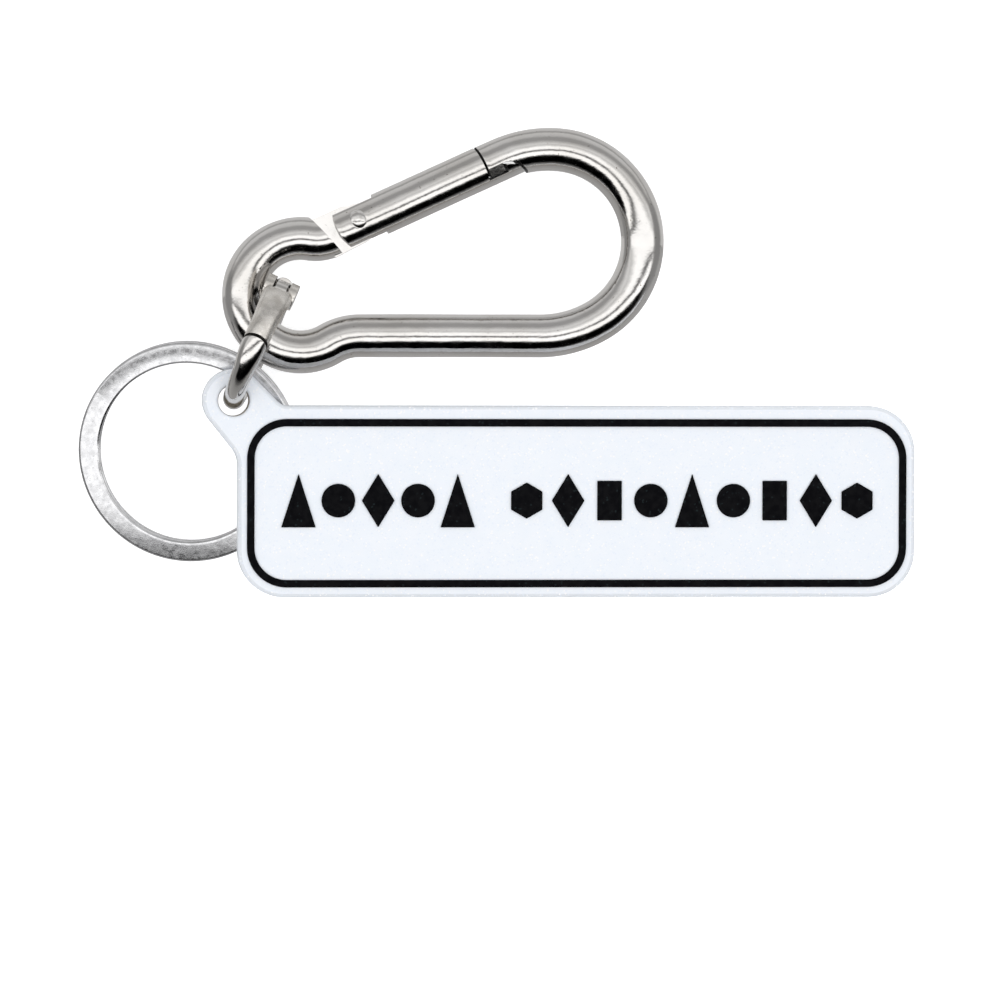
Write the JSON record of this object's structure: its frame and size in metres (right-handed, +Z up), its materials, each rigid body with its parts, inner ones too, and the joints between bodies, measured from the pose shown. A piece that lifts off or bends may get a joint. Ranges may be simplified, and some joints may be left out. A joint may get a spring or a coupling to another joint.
{
  "type": "carabiner keyring",
  "caption": "Carabiner keyring: a spring-gate snap hook and a small spring-gate link hold a split ring and a glittery acrylic tag with a raised black border and plain geometric marks.",
  "frame": {"origin": "middle of the keyring's footprint on the surface it lies on", "axes": "+Z up from the surface, +X along the tag away from the split ring, +Y towards the carabiner"},
  "size_m": [0.0974, 0.0546, 0.0165],
  "materials": {
    "polished_nickel": "polished nickel plate, slightly warm, with soft waves and fine rub marks",
    "satin_nickel": "satin nickel plate, cast skin",
    "rivet_metal": "bright pressed rivet metal",
    "spring_steel": "oiled spring wire",
    "brushed_ring_steel": "fine lengthwise brushing, soft edges",
    "glitter_acrylic": "pale blue-white acrylic full of fine glitter",
    "black_ink": "raised black print with faint glints"
  },
  "bodies": {
    "link": {"link_body": "polished_nickel", "link_hinge_pin": "polished_nickel"},
    "link_gate": {"link_gate": "satin_nickel", "link_gate_spring": "spring_steel"},
    "carabiner": {"carabiner_body": "polished_nickel"},
    "gate": {"carabiner_gate": "polished_nickel", "gate_rivet": "rivet_metal", "gate_spring": "spring_steel"},
    "plunger": {"gate_plunger": "rivet_metal"},
    "ring": {"split_ring": "brushed_ring_steel"},
    "tag": {"tag_plate": "glitter_acrylic", "tag_printed_frame": "black_ink", "tag_mark_01": "black_ink", "tag_mark_02": "black_ink", "tag_mark_03": "black_ink", "tag_mark_04": "black_ink", "tag_mark_05": "black_ink", "tag_mark_06": "black_ink", "tag_mark_07": "black_ink", "tag_mark_08": "black_ink", "tag_mark_09": "black_ink", "tag_mark_10": "black_ink", "tag_mark_11": "black_ink", "tag_mark_12": "black_ink", "tag_mark_13": "black_ink", "tag_mark_14": "black_ink"}
  },
  "joints": [
    {"name": "carabiner_swing", "type": "hinge", "parent": "link", "child": "carabiner", "pos_m": [-0.02722, 0.00288, 0.0056], "axis": [0.742, -0.6695, -0.0341], "range_deg": [0, 32]},
    {"name": "gate_hinge", "type": "hinge", "parent": "carabiner", "child": "gate", "pos_m": [-0.01625, 0.01665, 0.00462], "axis": [-0.064, -0.0202, -0.9977], "range_deg": [0, 27], "stiffness_Nm_per_rad": 0.08, "springref_deg": -34.38},
    {"name": "plunger_slide", "type": "slide", "parent": "gate", "child": "plunger", "axis": [0.9071, 0.4156, -0.0666], "range_m": [0, 0.0005], "deforming": ["gate_spring"]},
    {"name": "link_gate_hinge", "type": "hinge", "parent": "link", "child": "link_gate", "pos_m": [-0.02504, 0.00801, 0.01117], "axis": [0.9134, -0.4067, 0.0174], "range_deg": [0, 28], "stiffness_Nm_per_rad": 0.01, "springref_deg": -34.38, "deforming": ["link_gate_spring"]},
    {"name": "tag_swing", "type": "hinge", "parent": "link", "child": "tag", "pos_m": [-0.03063, -0.00443, 0.0074], "axis": [0.0848, -0.0349, 0.9958], "range_deg": [-150, 8]},
    {"name": "split_ring_spin", "type": "hinge", "parent": "link", "child": "ring", "pos_m": [-0.0358, -0.01035, 0.00353], "axis": [-0.1144, -0.1633, 0.9799], "continuous": true}
  ],
  "couplings": [
    {"joint": "plunger_slide", "follows": "gate_hinge", "m_per_rad": 0.00082}
  ]
}
